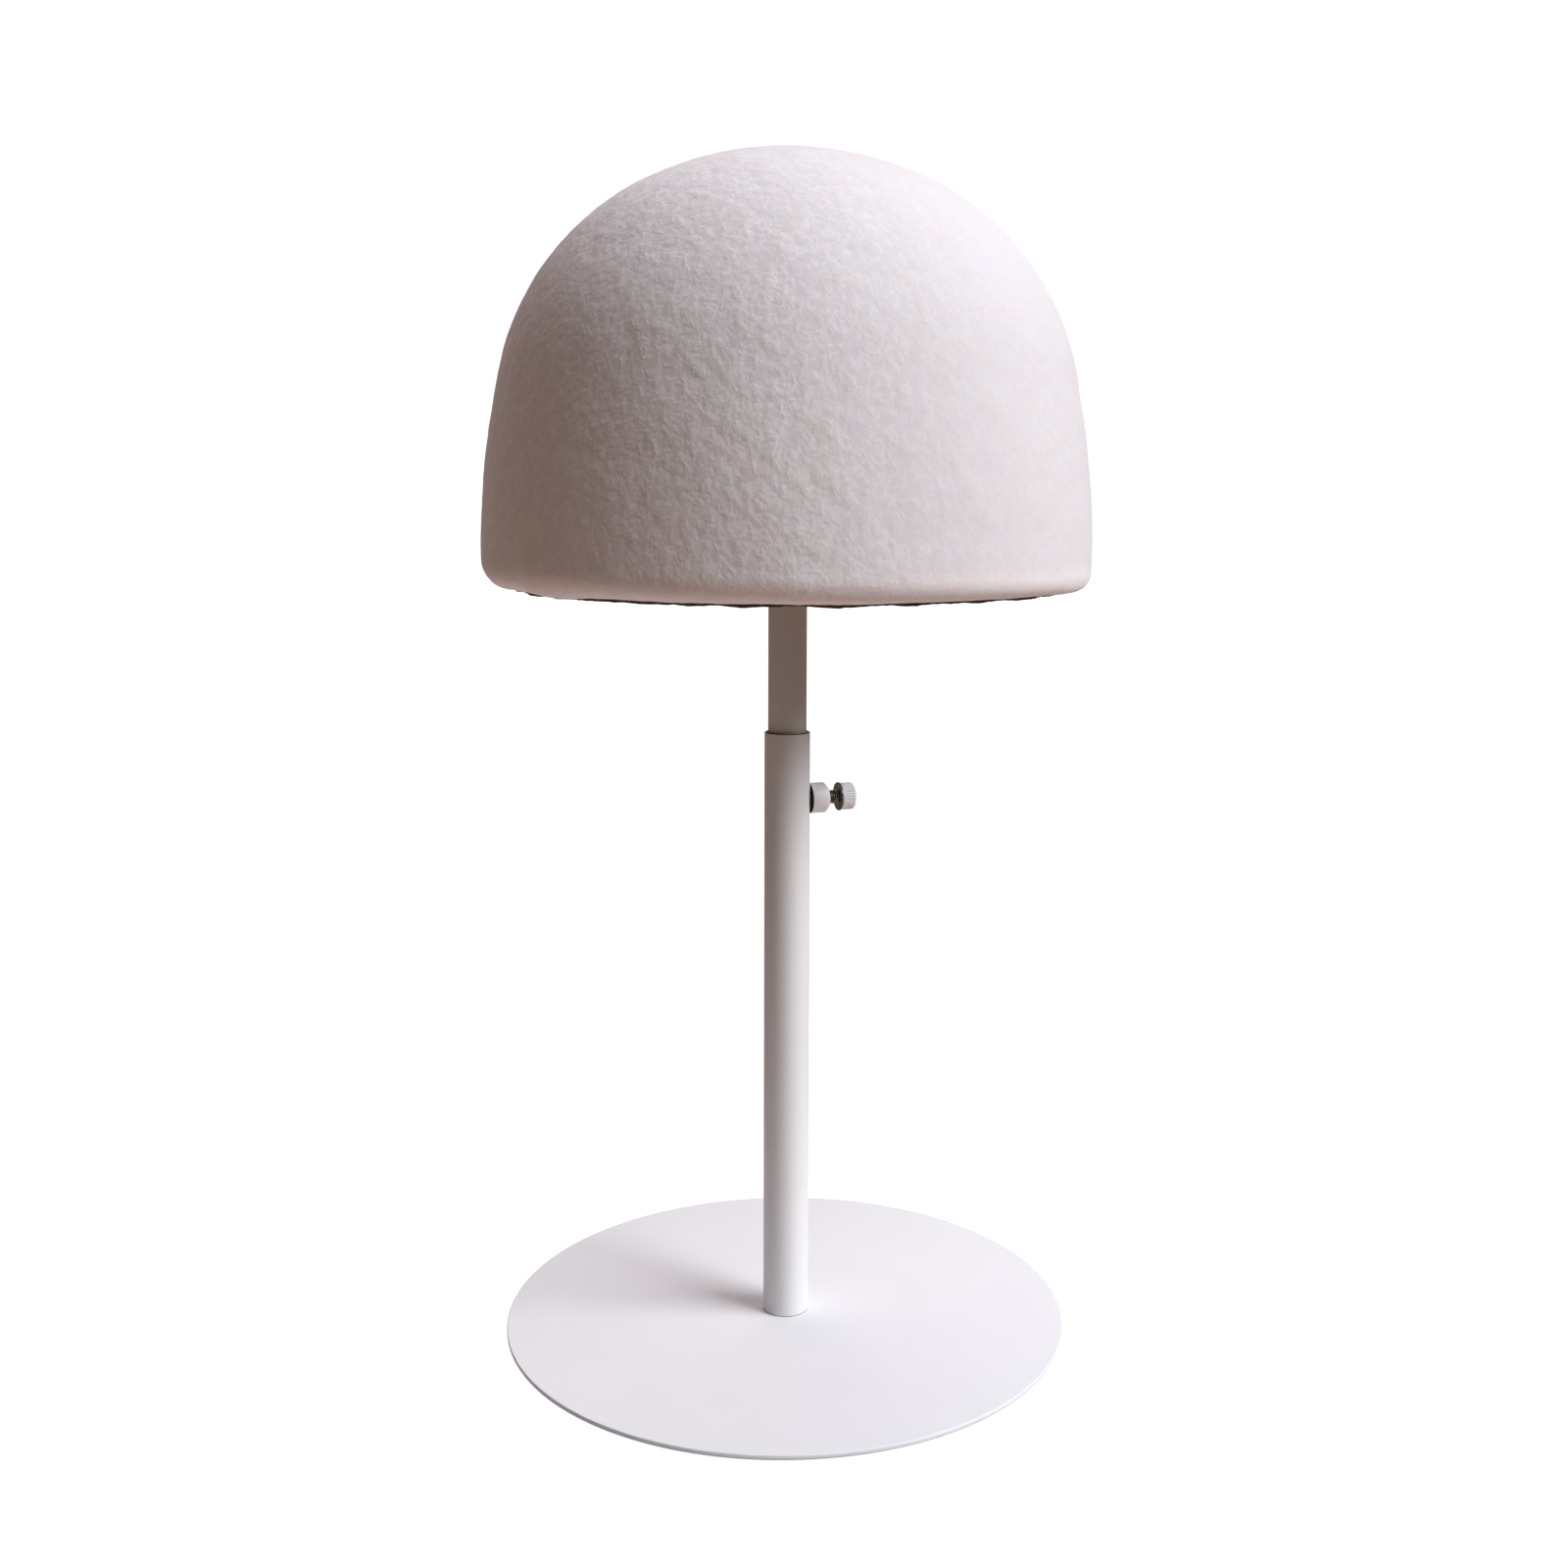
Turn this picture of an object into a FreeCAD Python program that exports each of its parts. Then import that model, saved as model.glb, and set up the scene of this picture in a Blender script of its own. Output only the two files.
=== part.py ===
import FreeCAD, Part
import math
import os

# Hat stand with a felt-covered domed head on a telescopic post.
# Millimetres, +Z up, ground at zero, the post on the Z axis and the clamp screw along +X.

# Fits, shared by all pieces
running_fit = 0.05
contact_gap = 0.3
slide_clearance = 0.1
cut_overrun = 2.0

# Base plate and the pads under it
base_diameter = 160.0
base_thickness = 1.5
base_edge_radius = 0.4
pad_diameter = 12.0
pad_thickness = 0.6
pad_edge_margin = 8.0
pad_count = 4

# Lower tube, and the plug and screw that hold it on the plate
lower_tube_diameter = 13.0
lower_tube_wall = 0.9
lower_tube_length = 169.1
tube_edge_radius = 0.3
foot_plug_length = 10.0
base_screw_diameter = 5.0
base_screw_head_diameter = 9.2
base_screw_length = 10.0
base_screw_sink = 0.1
base_socket_width = 3.0
base_socket_depth = 1.4
socket_sides = 6

# Upper tube: its outside follows the lower tube's bore, and its length the way it can sink
upper_tube_wall = 1.0
neck_length = 41.8
neck_stop_gap = 1.0
foot_stop_gap = 3.0
glide_flange_thickness = 3.0
glide_spigot_length = 8.0
neck_plug_length = 12.0
stud_diameter = 6.0
stud_length = 20.0
stud_engagement = 11.0

# Clamp: a threaded bush through the lower tube's wall, and the thumb screw in it
clamp_drop = 19.5
boss_diameter = 8.7
boss_length = 5.4
boss_chamfer = 1.0
boss_stand_off = 0.1
boss_spigot_diameter = 6.0
boss_spigot_recess = 0.1
clamp_screw_diameter = 4.0
thread_show = 3.3
tip_show = 0.6
tip_pad_diameter = 2.4
tip_pad_length = 1.5
flange_diameter = 8.2
flange_thickness = 0.5
flange_edge_radius = 0.12
hub_diameter = 5.2
hub_length = 3.0

# Knurled cap on the thumb screw
cap_diameter = 7.8
cap_length = 4.2
cap_end_radius = 0.9
cap_plain_band = 1.0
knurl_count = 32
knurl_depth = 0.25
groove_width_share = 0.5

# Head: outline of the felt, from the crown down
head_radius = 85.0
head_band = 8.9
rim_radius = 6.5
crown_sweep = math.radians(24.4)
shoulder_sweep = math.radians(53.7)
crown_radius_share = 1.0824
shoulder_radius_share = 0.8659

# Head: the layers inside the outline
felt_thickness = 2.0
hem_width = 25.0
shell_wall = 2.5
shell_mouth_wall = 5.0
board_thickness = 6.0
nut_flange_diameter = 18.0
nut_flange_thickness = 1.2
nut_barrel_diameter = 8.0
nut_barrel_gap = 1.0
liner_margin = 9.0
liner_thickness = 0.8

# Places worked out from the sizes above
plate_bottom = pad_thickness
plate_top = plate_bottom + base_thickness
post_top = plate_top + lower_tube_length
head_bottom = post_top + neck_length
board_bottom = head_bottom + felt_thickness + running_fit
board_top = board_bottom + board_thickness
clamp_height = post_top - clamp_drop

lower_radius = lower_tube_diameter / 2
lower_bore = lower_radius - lower_tube_wall
upper_radius = lower_bore - slide_clearance
upper_bore = upper_radius - upper_tube_wall
lowering_travel = neck_length - liner_thickness - neck_stop_gap
glide_bottom = plate_top + foot_plug_length + foot_stop_gap + lowering_travel
glide_top = glide_bottom + glide_flange_thickness
upper_bottom = glide_top + running_fit

boss_face = lower_radius + boss_stand_off
boss_end = boss_face + boss_length
flange_face = boss_end + thread_show
cap_face = flange_face + flange_thickness
tip_face = upper_radius + contact_gap
screw_tip_face = tip_face + tip_show

screw_head_radius = base_screw_head_diameter / 2
screw_radius = base_screw_diameter / 2
screw_head_bottom = plate_bottom + base_screw_sink
clamp_radius = clamp_screw_diameter / 2


def point(radius, height):
    """A point of a half outline, on the XZ plane."""
    return FreeCAD.Vector(radius, 0, height)


def turned(edges):
    """Solid made by turning a closed half outline about the Z axis."""
    face = Part.Face(Part.Wire(edges))
    return face.revolve(FreeCAD.Vector(0, 0, 0), FreeCAD.Vector(0, 0, 1), 360)


def on_arc(centre, radius, turn):
    """Point of an arc, at an angle from straight up round its centre."""
    return centre + point(radius * math.sin(turn), radius * math.cos(turn))


def arc_points(centre, radius, start_turn, end_turn):
    """Start, middle and end of an arc."""
    turns = (start_turn, (start_turn + end_turn) / 2, end_turn)
    return [on_arc(centre, radius, turn) for turn in turns]


def lines(corners):
    """Straight edges through the corners, closed back to the first."""
    loop = corners + corners[:1]
    return [Part.LineSegment(a, b).toShape() for a, b in zip(loop, loop[1:])]


def disc(radius, bottom, top):
    """Upright cylinder on the Z axis."""
    return Part.makeCylinder(radius, top - bottom, FreeCAD.Vector(0, 0, bottom))


def ring(outer, inner, bottom, top):
    """Upright tube on the Z axis."""
    hole = disc(inner, bottom - cut_overrun, top + cut_overrun)
    return disc(outer, bottom, top).cut(hole)


def along_x(shape):
    """Lays a piece that was turned about Z along the clamp's axis."""
    laid = shape.copy()
    laid.rotate(FreeCAD.Vector(0, 0, 0), FreeCAD.Vector(0, 1, 0), 90)
    laid.translate(FreeCAD.Vector(0, 0, clamp_height))
    return laid


def socket_prism(width, bottom, top):
    """Upright prism for a drive socket, measured across its flats."""
    reach = width / 2 / math.cos(math.pi / socket_sides)
    corners = []
    for index in range(socket_sides):
        turn = math.radians(360 * index / socket_sides)
        corners.append(FreeCAD.Vector(reach * math.cos(turn), reach * math.sin(turn), bottom))
    face = Part.Face(Part.Wire(lines(corners)))
    return face.extrude(FreeCAD.Vector(0, 0, top - bottom))


def softened_disc(radius, bottom, top, edge_radius):
    """Disc whose upper and lower edges are rounded."""
    plain = disc(radius, bottom, top)
    rims = [edge for edge in plain.Edges if isinstance(edge.Curve, Part.Circle)]
    return plain.makeFillet(edge_radius, rims)


def sunk_head(clearance, overrun):
    """Cone of the base screw's head up to its shank, or with a clearance and overrun its seat."""
    start = screw_head_bottom - overrun
    end = screw_head_bottom + screw_head_radius - screw_radius
    corners = [
        point(0, start),
        point(screw_head_radius + clearance + overrun, start),
        point(screw_radius + clearance, end),
        point(0, end),
    ]
    return turned(lines(corners))


def make_base_plate():
    """Round steel plate with a countersunk hole at its middle."""
    plate = softened_disc(base_diameter / 2, plate_bottom, plate_top, base_edge_radius)
    bore = disc(screw_radius + running_fit, plate_bottom - cut_overrun, plate_top + cut_overrun)
    return plate.cut([bore, sunk_head(running_fit, cut_overrun)])


def make_base_pads():
    """Thin feet set in from the plate's edge, spaced evenly."""
    reach = (base_diameter - pad_diameter) / 2 - pad_edge_margin
    pads = []
    for index in range(pad_count):
        turn = math.radians(360 / pad_count * index + 180 / pad_count)
        place = FreeCAD.Vector(reach * math.cos(turn), reach * math.sin(turn), 0)
        pads.append(Part.makeCylinder(pad_diameter / 2, pad_thickness, place))
    return Part.makeCompound(pads)


def make_base_screw():
    """Countersunk screw that comes up through the plate into the foot plug."""
    shank = disc(screw_radius, screw_head_bottom, screw_head_bottom + base_screw_length)
    socket_top = screw_head_bottom + base_socket_depth
    socket = socket_prism(base_socket_width, screw_head_bottom - cut_overrun, socket_top)
    return sunk_head(0, 0).fuse(shank).removeSplitter().cut(socket)


def make_foot_plug():
    """Threaded plug pressed into the foot of the lower tube."""
    top = plate_top + foot_plug_length
    plug = ring(lower_bore - running_fit, screw_radius + running_fit, plate_top, top)
    return plug.cut(sunk_head(running_fit, cut_overrun))


def round_topped(outer, inner, bottom, top, edge_radius):
    """Tube, or with no bore a bar, whose outer edge is rounded at the top."""
    corner = arc_points(point(outer - edge_radius, top - edge_radius), edge_radius, math.pi / 2, 0)
    edges = [
        Part.LineSegment(point(inner, bottom), point(outer, bottom)).toShape(),
        Part.LineSegment(point(outer, bottom), corner[0]).toShape(),
        Part.Arc(*corner).toShape(),
        Part.LineSegment(corner[2], point(inner, top)).toShape(),
        Part.LineSegment(point(inner, top), point(inner, bottom)).toShape(),
    ]
    return turned(edges)


def make_lower_tube():
    """Outer tube of the post, with the hole for the clamp's bush near its top."""
    post = round_topped(lower_radius, lower_bore, plate_top, post_top, tube_edge_radius)
    hole = along_x(disc(boss_spigot_diameter / 2 + running_fit, 0, boss_end))
    return post.cut(hole)


def make_upper_tube():
    """Inner tube, from the glide up to the board under the head."""
    return ring(upper_radius, upper_bore, upper_bottom, board_bottom)


def make_tube_glide():
    """Guide bush at the upper tube's lower end: it slides with the tube, which turns on it."""
    flange = disc(upper_radius, glide_bottom, glide_top)
    spigot = disc(upper_bore - running_fit, glide_top, glide_top + glide_spigot_length)
    return flange.fuse(spigot).removeSplitter()


def make_screw_boss():
    """Threaded bush whose spigot goes through the tube's wall."""
    radius = boss_diameter / 2
    spigot_radius = boss_spigot_diameter / 2
    spigot_start = lower_bore + boss_spigot_recess
    bore = clamp_radius + running_fit
    corners = [
        point(bore, spigot_start),
        point(spigot_radius, spigot_start),
        point(spigot_radius, boss_face),
        point(radius, boss_face),
        point(radius, boss_end - boss_chamfer),
        point(radius - boss_chamfer, boss_end),
        point(bore, boss_end),
    ]
    return along_x(turned(lines(corners)))


def make_screw_tip():
    """Soft pad in the screw's end, which presses on the upper tube and doesn't turn."""
    return along_x(disc(tip_pad_diameter / 2, tip_face, tip_face + tip_pad_length))


def make_thumb_screw():
    """Threaded shank, thin flange and the hub that the cap is pressed on."""
    shank = disc(clamp_radius, screw_tip_face, flange_face)
    flange = softened_disc(flange_diameter / 2, flange_face, cap_face, flange_edge_radius)
    hub = disc(hub_diameter / 2, cap_face, cap_face + hub_length)
    pocket_end = tip_face + tip_pad_length + running_fit
    pocket = disc(tip_pad_diameter / 2 + running_fit, screw_tip_face - cut_overrun, pocket_end)
    return along_x(shank.fuse([flange, hub]).removeSplitter().cut(pocket))


def make_cap_grooves(radius):
    """Straight knurl: one small vee groove, turned about the cap's axis."""
    start = cap_face + cap_plain_band
    end = cap_face + cap_length + cut_overrun
    half_width = math.pi * radius / knurl_count * groove_width_share
    corners = [
        FreeCAD.Vector(radius - knurl_depth, 0, start),
        FreeCAD.Vector(radius + knurl_depth, 2 * half_width, start),
        FreeCAD.Vector(radius + knurl_depth, -2 * half_width, start),
    ]
    groove = Part.Face(Part.Wire(lines(corners))).extrude(FreeCAD.Vector(0, 0, end - start))
    grooves = []
    for index in range(knurl_count):
        turned_groove = groove.copy()
        turned_groove.rotate(FreeCAD.Vector(0, 0, 0), FreeCAD.Vector(0, 0, 1), 360 * index / knurl_count)
        grooves.append(turned_groove)
    return grooves


def make_thumb_screw_cap():
    """Knurled cap with a rounded end edge, pressed over the screw's hub."""
    radius = cap_diameter / 2
    body = round_topped(radius, 0, cap_face, cap_face + cap_length, cap_end_radius)
    pocket_end = cap_face + hub_length + running_fit
    pocket = disc(hub_diameter / 2 + running_fit, cap_face - cut_overrun, pocket_end)
    return along_x(body.cut([pocket] + make_cap_grooves(radius)))


def dome_arcs():
    """Centres, radii and sweeps of the three tangent arcs from the crown to the widest ring."""
    turns = [0, crown_sweep, crown_sweep + shoulder_sweep, math.pi / 2]
    crown_reach = crown_radius_share * math.sin(turns[1])
    shoulder_reach = shoulder_radius_share * (math.sin(turns[2]) - math.sin(turns[1]))
    side_radius_share = (1 - crown_reach - shoulder_reach) / (1 - math.sin(turns[2]))
    shares = (crown_radius_share, shoulder_radius_share, side_radius_share)
    radii = [share * head_radius for share in shares]
    centre = point(head_radius - radii[2], head_bottom + head_band)
    arcs = [(centre, radii[2], turns[2], turns[3])]
    for index in (1, 0):
        centre = on_arc(centre, radii[index + 1] - radii[index], turns[index + 1])
        arcs.append((centre, radii[index], turns[index], turns[index + 1]))
    return arcs


def dome_edges(inset):
    """Edges of the head's outline, moved inwards, from the widest ring up to the crown."""
    edges = []
    for centre, radius, upper_turn, lower_turn in dome_arcs():
        ends = arc_points(centre, radius - inset, lower_turn, upper_turn)
        edges.append(Part.Arc(*ends).toShape())
    return edges


def crown_height():
    """Height of the felt's crown above the ground."""
    centre, radius = dome_arcs()[-1][:2]
    return centre.z + radius


def head_solid(inset):
    """Whole head with its rounded rim, moved inwards by the inset."""
    bottom = head_bottom + inset
    corner_centre = point(head_radius - rim_radius, head_bottom + rim_radius)
    corner = arc_points(corner_centre, rim_radius - inset, math.pi, math.pi / 2)
    band_top = point(head_radius - inset, head_bottom + head_band)
    crown = point(0, crown_height() - inset)
    edges = [
        Part.LineSegment(point(0, bottom), corner[0]).toShape(),
        Part.Arc(*corner).toShape(),
        Part.LineSegment(corner[2], band_top).toShape(),
    ]
    edges += dome_edges(inset)
    edges.append(Part.LineSegment(crown, point(0, bottom)).toShape())
    return turned(edges)


def head_cavity():
    """Hollow of the head's shell, above the board."""
    inset = felt_thickness + running_fit + shell_wall
    band_top = point(head_radius - inset, head_bottom + head_band)
    edges = [
        Part.LineSegment(point(0, board_top), point(head_radius - inset, board_top)).toShape(),
        Part.LineSegment(point(head_radius - inset, board_top), band_top).toShape(),
    ]
    edges += dome_edges(inset)
    edges.append(Part.LineSegment(point(0, crown_height() - inset), point(0, board_top)).toShape())
    return turned(edges)


def mouth_radius():
    """Radius of the shell's mouth, which the board closes."""
    return head_radius - felt_thickness - shell_mouth_wall


def make_felt_cover():
    """Felt drawn over the shell and turned under its rim as a hem."""
    hem_hole = disc(head_radius - hem_width, head_bottom - cut_overrun, board_bottom)
    return head_solid(0).cut([head_solid(felt_thickness), hem_hole])


def make_head_shell():
    """Moulded shell that gives the head its form, open at its mouth."""
    mouth = disc(mouth_radius(), head_bottom, board_top)
    return head_solid(felt_thickness + running_fit).cut([mouth, head_cavity()])


def make_head_board():
    """Board that closes the shell's mouth and carries the nut."""
    barrel_hole = nut_barrel_diameter / 2 + running_fit
    return ring(mouth_radius() - running_fit, barrel_hole, board_bottom, board_top)


def make_head_nut():
    """Flanged nut seated on top of the board, its barrel down in the board's hole."""
    flange = disc(nut_flange_diameter / 2, board_top, board_top + nut_flange_thickness)
    barrel = disc(nut_barrel_diameter / 2, board_bottom + nut_barrel_gap, board_top)
    bore = disc(stud_diameter / 2 + running_fit, board_bottom - cut_overrun, board_top + stud_length)
    return flange.fuse(barrel).removeSplitter().cut(bore)


def make_neck_plug():
    """Threaded plug pressed into the upper tube's top."""
    bottom = board_bottom - neck_plug_length
    return ring(upper_bore - running_fit, stud_diameter / 2 + running_fit, bottom, board_bottom)


def make_neck_stud():
    """Threaded rod that screws the head onto the upper tube."""
    bottom = board_bottom - stud_engagement
    return disc(stud_diameter / 2, bottom, bottom + stud_length)


def make_underside_liner():
    """Dark disc that covers the hem and the board, with a hole for the tube."""
    bottom = head_bottom - liner_thickness
    return ring(head_radius - liner_margin, upper_radius + contact_gap, bottom, head_bottom)


pieces = {
    "base_plate": make_base_plate,
    "base_pads": make_base_pads,
    "base_screw": make_base_screw,
    "foot_plug": make_foot_plug,
    "lower_tube": make_lower_tube,
    "screw_boss": make_screw_boss,
    "screw_tip": make_screw_tip,
    "thumb_screw": make_thumb_screw,
    "thumb_screw_cap": make_thumb_screw_cap,
    "upper_tube": make_upper_tube,
    "tube_glide": make_tube_glide,
    "neck_plug": make_neck_plug,
    "neck_stud": make_neck_stud,
    "head_nut": make_head_nut,
    "head_board": make_head_board,
    "head_shell": make_head_shell,
    "felt_cover": make_felt_cover,
    "underside_liner": make_underside_liner,
}

os.makedirs("parts", exist_ok=True)
for name, make_piece in pieces.items():
    shape = make_piece()
    shape.exportStep("parts/" + name + ".step")
    print(name, len(shape.Solids), "solid(s), valid", shape.isValid(), "volume", round(shape.Volume, 2))
print("overall height", round(crown_height(), 2))
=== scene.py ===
import math

import bmesh
import bpy
from mathutils import Matrix, Vector, noise


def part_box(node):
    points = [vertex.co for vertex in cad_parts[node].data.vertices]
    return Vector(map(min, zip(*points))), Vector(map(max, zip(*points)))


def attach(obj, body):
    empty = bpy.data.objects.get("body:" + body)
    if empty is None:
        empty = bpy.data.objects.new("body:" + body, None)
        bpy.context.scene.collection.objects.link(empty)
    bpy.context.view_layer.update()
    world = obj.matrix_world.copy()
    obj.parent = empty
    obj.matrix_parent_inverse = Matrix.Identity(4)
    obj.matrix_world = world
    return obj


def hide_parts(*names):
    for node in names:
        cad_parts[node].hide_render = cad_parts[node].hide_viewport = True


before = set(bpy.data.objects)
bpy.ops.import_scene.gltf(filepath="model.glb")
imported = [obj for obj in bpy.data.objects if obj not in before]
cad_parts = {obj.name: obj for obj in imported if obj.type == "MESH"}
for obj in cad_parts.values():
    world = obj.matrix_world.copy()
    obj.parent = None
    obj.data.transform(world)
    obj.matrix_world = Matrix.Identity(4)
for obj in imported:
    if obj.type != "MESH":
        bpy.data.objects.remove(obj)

# Hat stand: a felt-covered domed head on a telescopic post with a thumb screw and a round base.
# Metres, +Z up, the post on the Z axis and the thumb screw along +X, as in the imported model.

scene = bpy.context.scene
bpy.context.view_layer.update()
MM = 0.001
FULL_TURN = 2 * math.pi
QUARTER_TURN = math.pi / 2
# Points closer than the first are made one, and places closer than the second are taken as the same
WELD = 0.001 * MM
NEAR = 0.01 * MM

# Camera, worked out from the photograph: its place round the post, its tilt and its lens
camera_azimuth = math.radians(-18.5)
camera_reach = 505.9 * MM
camera_height = 242.4 * MM
camera_pitch = math.radians(4.32)
camera_yaw = math.radians(1.15)
camera_roll = math.radians(0.26)
camera_lens = 41.12
camera_sensor = 36.0
camera_shift = (-0.0252, -0.1071)


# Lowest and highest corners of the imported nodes

head_low, head_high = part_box("felt_cover")
liner_low, liner_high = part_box("underside_liner")
plate_low, plate_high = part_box("base_plate")
lower_low, lower_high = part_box("lower_tube")
upper_low, upper_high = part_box("upper_tube")
boss_low, boss_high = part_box("screw_boss")
screw_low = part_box("thumb_screw")[0]
cap_low, cap_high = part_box("thumb_screw_cap")
clamp_height = (boss_low.z + boss_high.z) / 2


# Shared mesh helpers

def rings_of(outline, steps, closed):
    """Mesh made by turning a half outline of (radius, height) points about Z, a quarter at a time."""
    bm = bmesh.new()
    verts = [bm.verts.new((radius, 0, height)) for radius, height in outline]
    edges = [bm.edges.new(pair) for pair in zip(verts, verts[1:])]
    if closed:
        edges.append(bm.edges.new((verts[-1], verts[0])))
    bmesh.ops.spin(
        bm, geom=verts + edges, cent=(0, 0, 0), axis=(0, 0, 1), dvec=(0, 0, 0),
        angle=QUARTER_TURN, steps=steps // 4, use_merge=False, use_duplicate=False,
    )
    quarter = bm.verts[:] + bm.edges[:] + bm.faces[:]
    for index in (1, 2, 3):
        copied = bmesh.ops.duplicate(bm, geom=quarter)["geom"]
        moved = [part for part in copied if isinstance(part, bmesh.types.BMVert)]
        turn = Matrix.Rotation(QUARTER_TURN * index, 3, "Z")
        bmesh.ops.rotate(bm, cent=(0, 0, 0), matrix=turn, verts=moved)
    bmesh.ops.remove_doubles(bm, verts=bm.verts, dist=WELD)
    bmesh.ops.recalc_face_normals(bm, faces=bm.faces)
    return bm


def ring_edges(bm, radius, height):
    """Edges of one turned corner of an outline."""
    found = []
    for edge in bm.edges:
        ends = [(math.hypot(v.co.x, v.co.y), v.co.z) for v in edge.verts]
        if all(abs(r - radius) < NEAR and abs(z - height) < NEAR for r, z in ends):
            found.append(edge)
    return found


def round_edges(bm, edges, size, segments):
    """Rounds edges to a radius."""
    bmesh.ops.bevel(
        bm, geom=edges, offset=size, offset_type="OFFSET", affect="EDGES",
        segments=segments, profile=0.5, material=-1, clamp_overlap=True,
    )


def lay_along_clamp(bm):
    """Moves work that was turned about Z onto the thumb screw's axis."""
    turn = Matrix.Rotation(QUARTER_TURN, 4, "Y")
    place = Matrix.Translation((0, 0, clamp_height))
    bmesh.ops.transform(bm, matrix=place @ turn, verts=bm.verts)


def finish_piece(name, bm, body, material, replaced, crease=40):
    """Makes a piece of finished mesh work: it rides on its body and stands for its nodes."""
    mesh = bpy.data.meshes.new(name)
    bm.to_mesh(mesh)
    bm.free()
    mesh.materials.append(material)
    mesh.shade_smooth()
    mesh.set_sharp_from_angle(angle=math.radians(crease))
    piece = bpy.data.objects.new(name, mesh)
    scene.collection.objects.link(piece)
    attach(piece, body)
    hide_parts(*replaced)
    return piece


# Shared material helpers

def linear(code):
    """Linear colour, with alpha, of an sRGB hex value."""
    channels = [int(code[i:i + 2], 16) / 255 for i in (0, 2, 4)]
    return [c / 12.92 if c <= 0.04045 else ((c + 0.055) / 1.055) ** 2.4 for c in channels] + [1]


def add(tree, kind, inputs=None, **settings):
    """Adds a node, with its settings, and its inputs as values or as links from other sockets."""
    made = tree.nodes.new("ShaderNode" + kind)
    for name, value in settings.items():
        setattr(made, name, value)
    for name, value in (inputs or {}).items():
        if isinstance(value, bpy.types.NodeSocket):
            tree.links.new(value, made.inputs[name])
        else:
            made.inputs[name].default_value = value
    return made


def new_material(name):
    """Empty node material, with its tree and the Object coordinates in it."""
    material = bpy.data.materials.new(name)
    material.use_nodes = True
    tree = material.node_tree
    tree.nodes.clear()
    return material, tree, add(tree, "TexCoord").outputs["Object"]


def show(tree, shader):
    """Sends a shader to the material's output."""
    add(tree, "OutputMaterial", {"Surface": shader.outputs[0]})


def show_surface(tree, inputs):
    """Shows a Principled surface with these inputs."""
    show(tree, add(tree, "BsdfPrincipled", inputs))


def per_mm(size):
    """Texture scale whose features are about this many millimetres across."""
    return 1 / (size * MM)


def speckle(tree, place, size_mm, detail, roughness=0.5, distortion=0.0):
    """Noise with features of a size."""
    return add(tree, "TexNoise", {
        "Vector": place, "Scale": per_mm(size_mm), "Detail": detail, "Roughness": roughness,
        "Distortion": distortion,
    }).outputs["Fac"]


def maths(tree, operation, *values):
    """Result of one operation on values or sockets."""
    return add(tree, "Math", dict(enumerate(values)), operation=operation).outputs[0]


def remap(tree, value, start, end, low=0, high=1, **settings):
    """Value carried from one range to another, and held at its ends."""
    return add(tree, "MapRange", {
        "Value": value, "From Min": start, "From Max": end, "To Min": low, "To Max": high,
    }, **settings).outputs[0]


def blend(tree, factor, colour, other):
    """Colour between two, each a hex value or a socket."""
    ends = [linear(end) if isinstance(end, str) else end for end in (colour, other)]
    mixed = add(tree, "Mix", {"Factor": factor, "A": ends[0], "B": ends[1]}, data_type="RGBA")
    return mixed.outputs["Result"]


def bump(tree, height, strength, depth_mm, normal=None):
    """Normal raised by a height, over another normal if one is given."""
    inputs = {"Height": height, "Strength": strength, "Distance": depth_mm * MM}
    if normal is not None:
        inputs["Normal"] = normal
    return add(tree, "Bump", inputs).outputs[0]


# Materials

ring_width = 0.4 * MM
ring_waver = 0.15 * MM
ring_softness = 0.15 * MM
top_ring_rise = 0.1 * MM


def ringed(tree, place, colour, height, tone):
    """Colour with one thin, slightly uneven dark ring round the piece, centred at a height."""
    level = add(tree, "SeparateXYZ", {"Vector": place}).outputs["Z"]
    reach = maths(tree, "ABSOLUTE", maths(tree, "SUBTRACT", level, height))
    uneven = maths(tree, "MULTIPLY_ADD", speckle(tree, place, 2, 2), ring_waver, reach)
    ring = remap(tree, uneven, ring_width / 2, ring_width / 2 + ring_softness, 1, 0)
    return blend(tree, ring, colour, tone)


def powder_coat(name, tone, shade_tone, peel_mm, roughness, rings=()):
    """Polyester powder coat, sprayed dry and baked: even, softly glossy, with a faint orange peel."""
    material, tree, place = new_material(name)
    peel = speckle(tree, place, peel_mm, 1, roughness=0.4)
    grainy = bump(tree, speckle(tree, place, 0.35, 2), 0.25, 0.01)
    colour = blend(tree, speckle(tree, place, 24, 2), tone, shade_tone)
    for height, ring_tone in rings:
        colour = ringed(tree, place, colour, height, ring_tone)
    show_surface(tree, {
        "Base Color": colour, "Roughness": remap(tree, peel, 0.3, 0.7, roughness - 0.05, roughness + 0.06),
        "IOR": 1.5, "Normal": bump(tree, peel, 0.6, 0.03, normal=grainy),
    })
    return material


def curls(tree, place, size_mm, shift_mm, width):
    """Short curled lines of fibre: where a noise crosses its middle, broken into short runs."""
    shift = (shift_mm * MM, shift_mm * 2 * MM, 0)
    moved = add(tree, "Mapping", {"Vector": place, "Location": shift}).outputs[0]
    field = speckle(tree, moved, size_mm, 0, distortion=0.5)
    off_middle = maths(tree, "ABSOLUTE", maths(tree, "SUBTRACT", field, 0.5))
    line = remap(tree, off_middle, 0, width, 1, 0, interpolation_type="SMOOTHSTEP")
    run = remap(tree, speckle(tree, moved, size_mm * 0.8, 1), 0.48, 0.6)
    return maths(tree, "MULTIPLY", line, run)


# The felt's nap stands up at -X and lies flat at +X, and changes within this distance of the middle
nap_change = 25 * MM
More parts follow.
